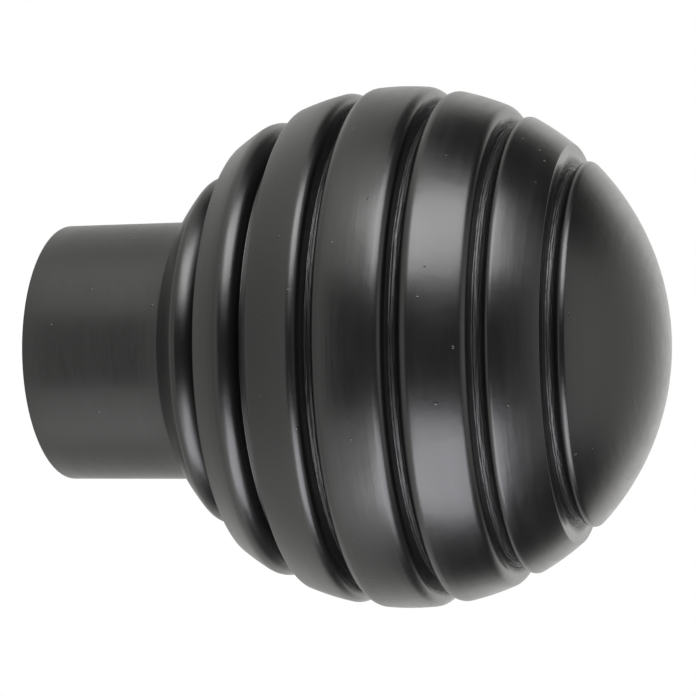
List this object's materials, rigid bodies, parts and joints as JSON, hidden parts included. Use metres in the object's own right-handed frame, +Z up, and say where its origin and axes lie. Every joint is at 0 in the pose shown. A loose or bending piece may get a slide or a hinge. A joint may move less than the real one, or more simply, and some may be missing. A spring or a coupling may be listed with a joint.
{
  "type": "curtain pole finial",
  "caption": "Turned metal finial for a round curtain pole: a plain collar that slips over the pole end and a ball with turned grooves round it.",
  "frame": {"origin": "centre of the collar's open mouth, on the pole axis", "axes": "+X along the pole axis from the mouth to the ball's tip, +Z up"},
  "size_m": [0.078, 0.065, 0.065],
  "materials": {
    "satin_black": "satin black lacquer over fine lathe turning lines"
  },
  "bodies": {
    "root": {"finial": "satin_black"}
  },
  "joints": []
}
